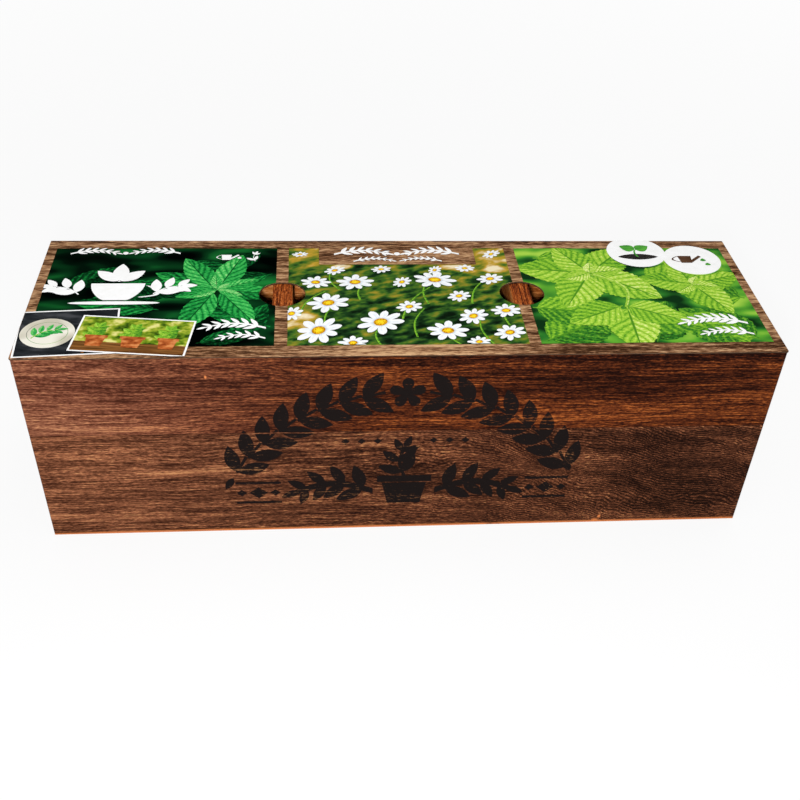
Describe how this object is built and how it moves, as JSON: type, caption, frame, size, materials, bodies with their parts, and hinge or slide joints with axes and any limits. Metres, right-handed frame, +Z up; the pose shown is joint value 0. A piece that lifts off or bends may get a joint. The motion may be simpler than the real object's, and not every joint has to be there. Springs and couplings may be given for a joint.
{
  "type": "indoor herb planter",
  "caption": "Long stained wooden planter box with compartments, lift-out liners, pressed coir discs, seed packets and a flat printed card lid with finger holes.",
  "frame": {"origin": "middle of the underside, on the surface that the box stands on", "axes": "+X to the right along the length seen from the front, +Y to the back, +Z up"},
  "size_m": [0.365, 0.11, 0.11],
  "materials": {
    "stained_wood": "stained, waxed",
    "divider_wood": "stained, sawn",
    "plywood": "bare",
    "brad_steel": "bright",
    "card_core": "grey board",
    "printed_paper": "satin print",
    "liner_plastic": "thermoformed sheet",
    "coir": "pressed fibre",
    "packet_paper": "kraft"
  },
  "bodies": {
    "box": {"front_lower_board": "stained_wood", "front_upper_board": "stained_wood", "back_lower_board": "stained_wood", "back_upper_board": "stained_wood", "left_end_lower_board": "stained_wood", "left_end_upper_board": "stained_wood", "right_end_lower_board": "stained_wood", "right_end_upper_board": "stained_wood", "bottom_board": "plywood", "left_divider": "divider_wood", "right_divider": "divider_wood", "left_end_brads": "brad_steel", "right_end_brads": "brad_steel"},
    "lid": {"lid_board": "card_core", "lid_print": "printed_paper"},
    "left_insert": {"left_liner": "liner_plastic", "left_coir_disc": "coir", "left_seed_packet": "packet_paper"},
    "middle_insert": {"middle_liner": "liner_plastic", "middle_coir_disc": "coir", "middle_seed_packet": "packet_paper"},
    "right_insert": {"right_liner": "liner_plastic", "right_coir_disc": "coir", "right_seed_packet": "packet_paper"}
  },
  "joints": [
    {"name": "lid_lift", "type": "slide", "parent": "box", "child": "lid", "axis": [0, 0, 1], "range_m": [0, 0.15]},
    {"name": "left_insert_lift", "type": "slide", "parent": "box", "child": "left_insert", "axis": [0, 0, 1], "range_m": [0, 0.032]},
    {"name": "middle_insert_lift", "type": "slide", "parent": "box", "child": "middle_insert", "axis": [0, 0, 1], "range_m": [0, 0.032]},
    {"name": "right_insert_lift", "type": "slide", "parent": "box", "child": "right_insert", "axis": [0, 0, 1], "range_m": [0, 0.032]}
  ]
}
